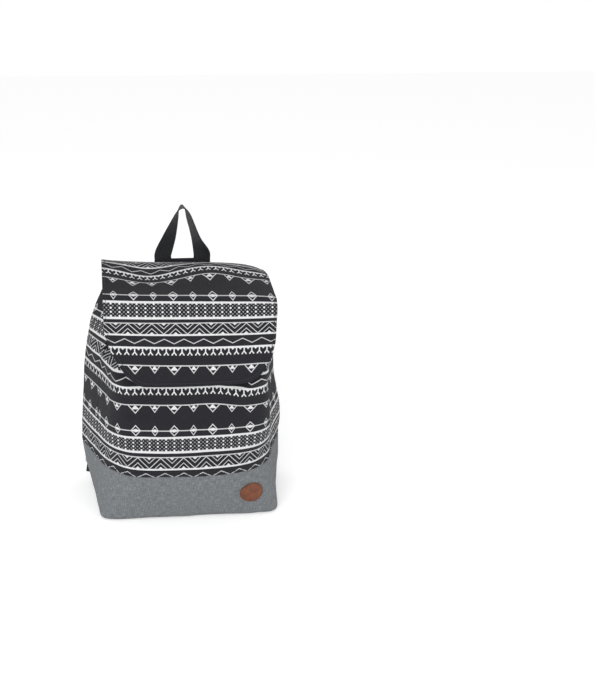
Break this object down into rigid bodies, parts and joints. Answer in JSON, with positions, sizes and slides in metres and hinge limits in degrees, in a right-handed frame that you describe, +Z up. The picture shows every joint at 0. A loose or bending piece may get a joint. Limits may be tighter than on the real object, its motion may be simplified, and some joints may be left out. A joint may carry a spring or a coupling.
{
  "type": "backpack",
  "caption": "Soft canvas backpack with a fold-over flap, plain base, webbing grab handle and a clip-on shoulder strap threaded through a loop at the back.",
  "frame": {"origin": "middle of the bottom panel's underside", "axes": "+Z up, front faces -Y, +X to the right seen from the front"},
  "size_m": [0.3172, 0.2042, 0.4498],
  "materials": {
    "print": "black cotton canvas with off-white geometric stripe print, matte",
    "grey_canvas": "grey melange upholstery canvas, matte",
    "lining": "black cotton lining, matte",
    "webbing": "black ribbed webbing, low sheen",
    "leather": "brown leather, fine grain, satin",
    "nickel": "nickel plate, polished"
  },
  "bodies": {
    "bag": {"front_panel": "print", "back_panel": "print", "base_front": "grey_canvas", "base_back": "grey_canvas", "bottom_panel": "grey_canvas", "lining": "lining", "flap_outer": "print", "flap_lining": "lining", "grab_handle": "webbing", "handle_strip": "webbing", "strap_loop": "webbing", "leather_patch": "leather", "lower_tab_left": "webbing", "lower_tab_right": "webbing", "upper_tab_left": "webbing", "upper_tab_right": "webbing", "shoulder_strap": "webbing", "strap_slider": "nickel", "swivel_eye_left": "nickel", "swivel_eye_right": "nickel"},
    "hook_left": {"hook_left": "nickel", "gate_pin_left": "nickel"},
    "gate_left": {"gate_left": "nickel"},
    "lower_ring_left": {"lower_d_ring_left": "nickel"},
    "upper_ring_left": {"upper_d_ring_left": "nickel"},
    "hook_right": {"hook_right": "nickel", "gate_pin_right": "nickel"},
    "gate_right": {"gate_right": "nickel"},
    "lower_ring_right": {"lower_d_ring_right": "nickel"},
    "upper_ring_right": {"upper_d_ring_right": "nickel"}
  },
  "joints": [
    {"name": "hook_swivel_left", "type": "hinge", "parent": "bag", "child": "hook_left", "pos_m": [-0.14331, 0.07891, 0.012], "axis": [0.1593, 0.2538, 0.954], "range_deg": [-35, 35]},
    {"name": "gate_press_left", "type": "hinge", "parent": "hook_left", "child": "gate_left", "pos_m": [-0.13513, 0.09833, 0.05934], "axis": [-0.9872, 0.041, 0.154], "range_deg": [0, 25], "stiffness_Nm_per_rad": 0.01, "springref_deg": -5.73},
    {"name": "lower_ring_tilt_left", "type": "hinge", "parent": "bag", "child": "lower_ring_left", "pos_m": [-0.14092, 0.08272, 0.02631], "axis": [0.9872, -0.041, -0.154], "range_deg": [-4, 4]},
    {"name": "upper_ring_swing_left", "type": "hinge", "parent": "bag", "child": "upper_ring_left", "pos_m": [-0.074, 0.04739, 0.3168], "axis": [-1, 0, 0], "range_deg": [0, 60]},
    {"name": "hook_swivel_right", "type": "hinge", "parent": "bag", "child": "hook_right", "pos_m": [0.14331, 0.07891, 0.012], "axis": [-0.1593, 0.2538, 0.954], "range_deg": [-35, 35]},
    {"name": "gate_press_right", "type": "hinge", "parent": "hook_right", "child": "gate_right", "pos_m": [0.13513, 0.09833, 0.05934], "axis": [-0.9872, -0.041, -0.154], "range_deg": [0, 25], "stiffness_Nm_per_rad": 0.01, "springref_deg": -5.73},
    {"name": "lower_ring_tilt_right", "type": "hinge", "parent": "bag", "child": "lower_ring_right", "pos_m": [0.14092, 0.08272, 0.02631], "axis": [0.9872, 0.041, 0.154], "range_deg": [-4, 4]},
    {"name": "upper_ring_swing_right", "type": "hinge", "parent": "bag", "child": "upper_ring_right", "pos_m": [0.074, 0.04739, 0.3168], "axis": [-1, 0, 0], "range_deg": [0, 60]}
  ]
}
